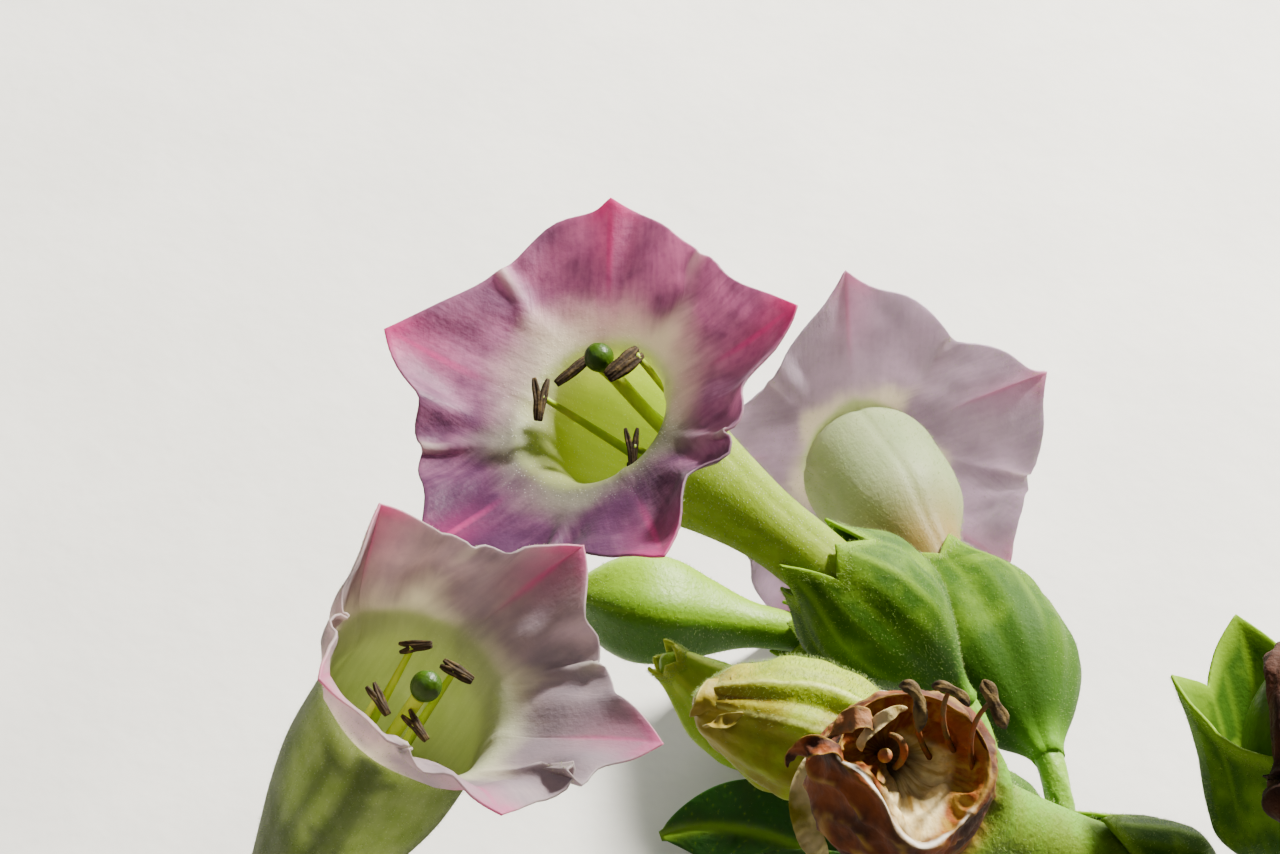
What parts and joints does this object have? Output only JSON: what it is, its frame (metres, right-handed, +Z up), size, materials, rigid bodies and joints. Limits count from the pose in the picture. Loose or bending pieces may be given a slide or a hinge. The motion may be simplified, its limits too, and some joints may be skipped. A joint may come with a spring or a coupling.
{
  "type": "tobacco flower cluster",
  "caption": "Cut flower cluster of a tobacco plant: open pink funnel blooms, buds, a wilting and a withered bloom and a ripening fruit on curved stalks.",
  "frame": {"origin": "middle of the bounding box, on the ground that the cluster lies on", "axes": "+Z up from the ground, +Y from the cut stem towards the blooms that face away, +X to the right as the picture shows it"},
  "size_m": [0.0972, 0.113, 0.0745],
  "materials": {
    "green_stalk": "hairy, soft sheen",
    "green_calyx": "hairy, ribbed, soft sheen",
    "bract_leaf": "matt leaf",
    "pistil": "smooth style, glossy green stigma",
    "stamen": "smooth filament, dusty brown anther",
    "dry_stamen": "dry, matt",
    "pink_petal": "thin translucent petal",
    "salmon_petal": "thin translucent petal",
    "lilac_petal": "thin translucent petal",
    "green_bud": "fine hairs, soft sheen",
    "wilting_petal": "limp, fine hairs",
    "dry_petal": "dry, crumpled, matt",
    "capsule": "glossy"
  },
  "bodies": {
    "root": {"stem": "green_stalk", "left_branch": "green_stalk", "right_branch": "green_stalk", "side_shoot": "green_stalk", "main_bloom_corolla": "pink_petal", "main_bloom_calyx": "green_calyx", "main_bloom_stamen_1": "stamen", "main_bloom_stamen_2": "stamen", "main_bloom_stamen_3": "stamen", "main_bloom_stamen_4": "stamen", "main_bloom_stamen_5": "stamen", "main_bloom_pistil": "pistil", "main_bloom_stalk": "green_stalk", "left_bloom_corolla": "salmon_petal", "left_bloom_calyx": "green_calyx", "left_bloom_stamen_1": "stamen", "left_bloom_stamen_2": "stamen", "left_bloom_stamen_3": "stamen", "left_bloom_stamen_4": "stamen", "left_bloom_stamen_5": "stamen", "left_bloom_pistil": "pistil", "left_bloom_stalk": "green_stalk", "back_bloom_corolla": "lilac_petal", "back_bloom_calyx": "green_calyx", "back_bloom_stamen_1": "stamen", "back_bloom_stamen_2": "stamen", "back_bloom_stamen_3": "stamen", "back_bloom_stamen_4": "stamen", "back_bloom_stamen_5": "stamen", "back_bloom_pistil": "pistil", "back_bloom_stalk": "green_stalk", "closed_bud_corolla": "green_bud", "closed_bud_calyx": "green_calyx", "closed_bud_stalk": "green_stalk", "small_bud_head": "green_bud", "small_bud_calyx": "green_calyx", "small_bud_stalk": "green_stalk", "wilting_bloom_corolla": "wilting_petal", "wilting_bloom_calyx": "green_calyx", "wilting_bloom_stalk": "green_stalk", "withered_bloom_corolla": "dry_petal", "withered_bloom_calyx": "green_calyx", "withered_bloom_stamen_1": "dry_stamen", "withered_bloom_stamen_2": "dry_stamen", "withered_bloom_stamen_3": "dry_stamen", "withered_bloom_stalk": "green_stalk", "fruit_capsule": "capsule", "fruit_calyx": "green_calyx", "fruit_dry_corolla": "dry_petal", "fruit_stalk": "green_stalk", "upper_bract": "bract_leaf", "lower_bract": "bract_leaf"}
  },
  "joints": []
}
